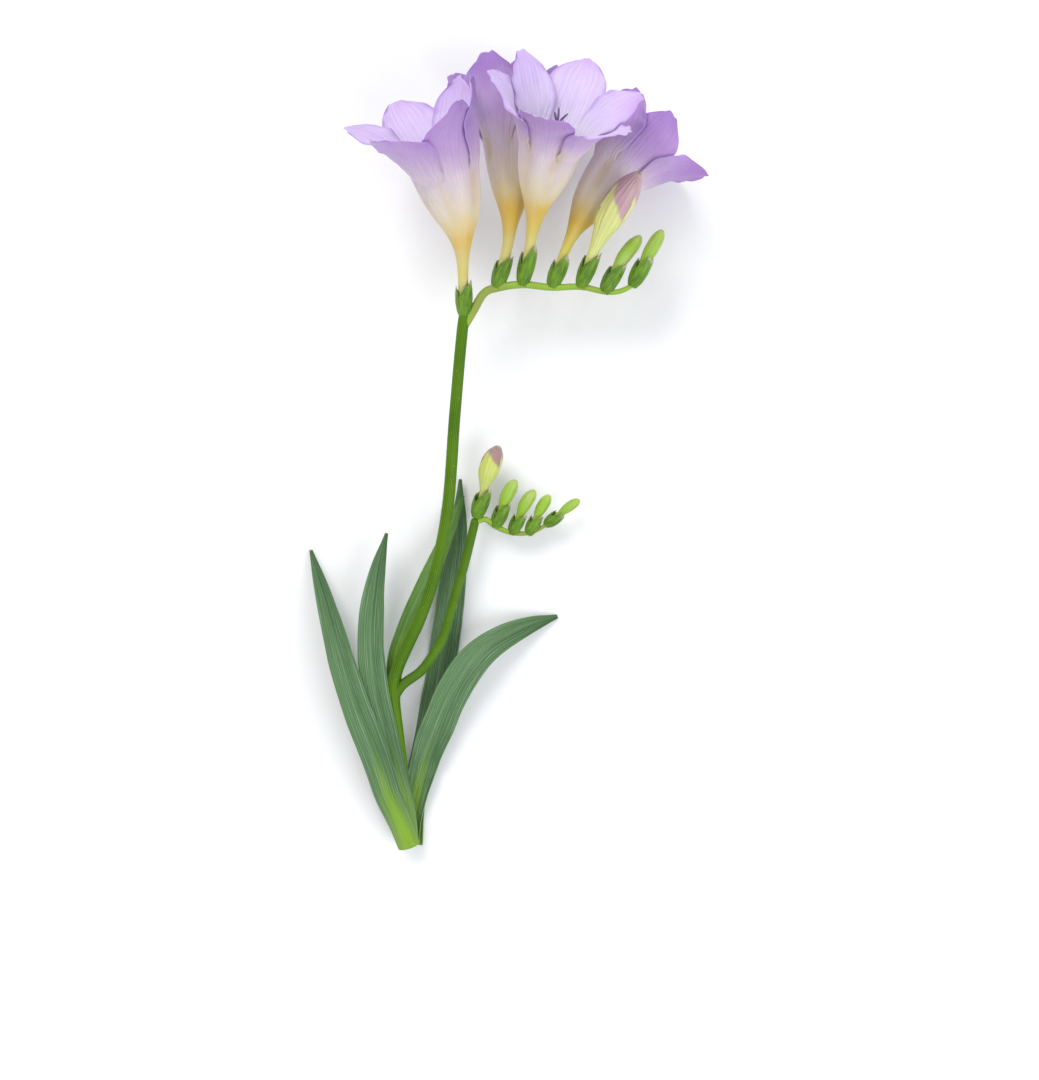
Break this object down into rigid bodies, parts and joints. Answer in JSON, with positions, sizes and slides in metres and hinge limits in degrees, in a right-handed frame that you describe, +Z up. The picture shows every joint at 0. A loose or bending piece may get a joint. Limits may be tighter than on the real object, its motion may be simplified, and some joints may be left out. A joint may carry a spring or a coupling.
{
  "type": "freesia stem",
  "caption": "Cut freesia stem lying flat: open lilac funnel blooms and green buds along an arched spike, a budding side branch and sword-shaped leaves.",
  "frame": {"origin": "the flat spot under the clasping leaf foot, 8 mm from the cut end, on the surface that the stem lies on", "axes": "+Z up from the surface, +Y along the stem from the cut end towards the flower spike, +X to the side that the spike bends to"},
  "size_m": [0.1626, 0.3212, 0.0959],
  "materials": {
    "stem_green": "soft gloss, fresh green plant tissue",
    "leaf_green": "satin dark blue-green blade, finely veined",
    "petal_lilac": "soft matt, thin and slightly translucent",
    "bud_green": "soft gloss, closed tepals",
    "stamen_purple": "matt, powdery anthers on pale filaments"
  },
  "bodies": {
    "root": {"bloom_1": "petal_lilac", "bloom_2": "petal_lilac", "bloom_3": "petal_lilac", "bloom_4": "petal_lilac", "bud_1": "bud_green", "bud_2": "bud_green", "bud_3": "bud_green", "leaf_left_front": "leaf_green", "leaf_left_inner": "leaf_green", "leaf_node": "leaf_green", "leaf_right_arching": "leaf_green", "leaf_right_back": "leaf_green", "side_bud_1": "bud_green", "side_bud_2": "bud_green", "side_bud_3": "bud_green", "side_bud_4": "bud_green", "side_bud_5": "bud_green", "stamens_1": "stamen_purple", "stamens_2": "stamen_purple", "stamens_3": "stamen_purple", "stamens_4": "stamen_purple", "stem": "stem_green"}
  },
  "joints": []
}
